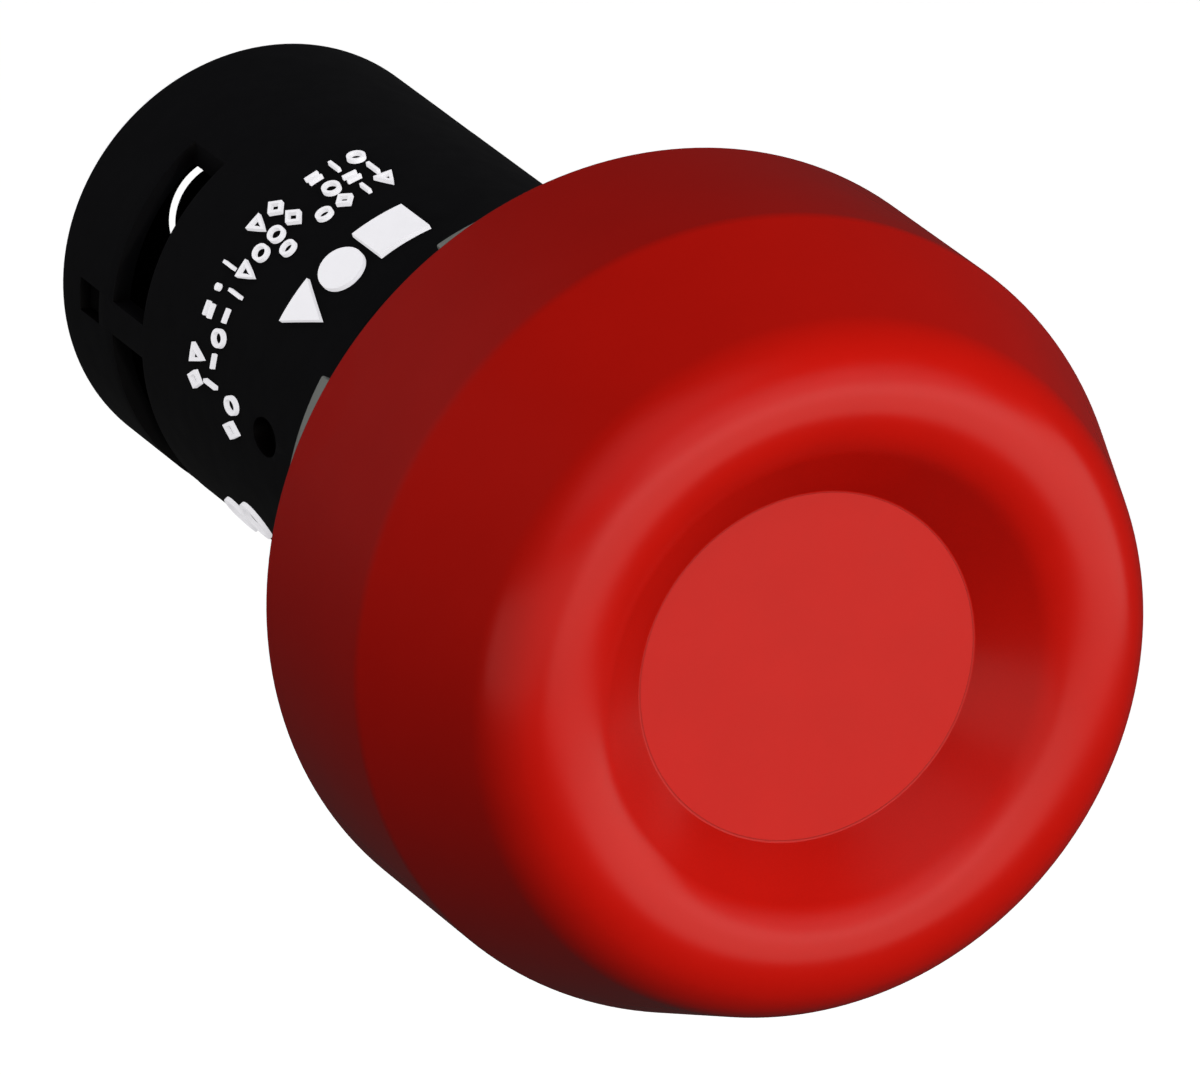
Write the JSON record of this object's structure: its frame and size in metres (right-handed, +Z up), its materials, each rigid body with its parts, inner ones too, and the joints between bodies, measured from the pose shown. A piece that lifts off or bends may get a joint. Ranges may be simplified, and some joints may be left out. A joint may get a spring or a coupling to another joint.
{
  "type": "emergency stop button",
  "caption": "Red mushroom emergency stop button with a dished face, latching press and pull release, a black cylindrical panel-mount body and screw terminals behind.",
  "frame": {"origin": "on the device axis, in the plane where the gasket meets the front of the panel", "axes": "+Y along the device axis from the red head to the terminals, so the head faces -Y; +Z up; +X to the right seen from the front"},
  "size_m": [0.04, 0.066, 0.04],
  "materials": {
    "red_shell": "satin moulded signal-red plastic",
    "red_cap": "satin signal-red plastic insert",
    "black_body": "smooth satin black moulded plastic with raised white marks",
    "black_plastic": "fine matte black moulded plastic",
    "grey_nut": "fine grey moulded plastic",
    "seal_rubber": "soft matte black rubber",
    "cream_insulator": "matte cream insulating plastic",
    "steel_parts": "zinc-plated steel",
    "brass_contacts": "plain stamped brass",
    "silver_tips": "silver contact rivets",
    "white_marks": "raised white moulded marks"
  },
  "bodies": {
    "base": {"front_barrel": "black_plastic", "panel_gasket": "seal_rubber", "detent_spring_left": "steel_parts", "detent_spring_right": "steel_parts", "main_spring": "steel_parts", "rear_housing": "black_body", "rear_cover": "black_plastic", "contact_block": "black_plastic", "contact_spring_upper": "steel_parts", "contact_spring_lower": "steel_parts", "fixed_contact_1": "brass_contacts", "fixed_tip_1": "silver_tips", "terminal_screw_1": "steel_parts", "terminal_clamp_1": "steel_parts", "fixed_contact_2": "brass_contacts", "fixed_tip_2": "silver_tips", "terminal_screw_2": "steel_parts", "terminal_clamp_2": "steel_parts", "fixed_contact_3": "brass_contacts", "fixed_tip_3": "silver_tips", "terminal_screw_3": "steel_parts", "terminal_clamp_3": "steel_parts", "fixed_contact_4": "brass_contacts", "fixed_tip_4": "silver_tips", "terminal_screw_4": "steel_parts", "terminal_clamp_4": "steel_parts"},
    "head": {"mushroom_head": "red_shell", "head_cap_disc": "red_cap", "head_screw": "steel_parts", "stem": "black_plastic", "stem_seal": "seal_rubber", "pusher": "cream_insulator"},
    "bridge_upper": {"contact_bridge_upper": "brass_contacts", "bridge_tip_1": "silver_tips", "bridge_tip_2": "silver_tips"},
    "bridge_lower": {"contact_bridge_lower": "brass_contacts", "bridge_tip_3": "silver_tips", "bridge_tip_4": "silver_tips"},
    "detent_left": {"detent_pin_left": "steel_parts"},
    "detent_right": {"detent_pin_right": "steel_parts"},
    "washer": {"clamp_washer": "steel_parts"},
    "nut": {"mounting_nut": "grey_nut"}
  },
  "joints": [
    {"name": "head_press", "type": "slide", "parent": "base", "child": "head", "axis": [0, 1, 0], "range_m": [0, 0.004], "deforming": ["main_spring"]},
    {"name": "bridge_upper_open", "type": "slide", "parent": "base", "child": "bridge_upper", "axis": [0, 1, 0], "range_m": [0, 0.003], "deforming": ["contact_spring_upper"]},
    {"name": "bridge_lower_open", "type": "slide", "parent": "base", "child": "bridge_lower", "axis": [0, 1, 0], "range_m": [0, 0.003], "deforming": ["contact_spring_lower"]},
    {"name": "detent_left_slide", "type": "slide", "parent": "base", "child": "detent_left", "axis": [1, 0, 0], "range_m": [0, 0.0008], "deforming": ["detent_spring_left"]},
    {"name": "detent_right_slide", "type": "slide", "parent": "base", "child": "detent_right", "axis": [-1, 0, 0], "range_m": [0, 0.0008], "deforming": ["detent_spring_right"]},
    {"name": "washer_travel", "type": "slide", "parent": "base", "child": "washer", "axis": [0, 1, 0], "range_m": [-0.0012, 0.0036]},
    {"name": "nut_turn", "type": "hinge", "parent": "washer", "child": "nut", "pos_m": [0, 0, 0], "axis": [0, 1, 0], "range_deg": [-290, 866]}
  ],
  "couplings": [
    {"joint": "bridge_upper_open", "follows": "head_press", "ratio": 0.75},
    {"joint": "bridge_lower_open", "follows": "head_press", "ratio": 0.75},
    {"joint": "detent_left_slide", "follows": "head_press", "ratio": 0.2},
    {"joint": "detent_right_slide", "follows": "head_press", "ratio": 0.2},
    {"joint": "nut_turn", "follows": "washer_travel", "rad_per_m": 4188.8}
  ]
}
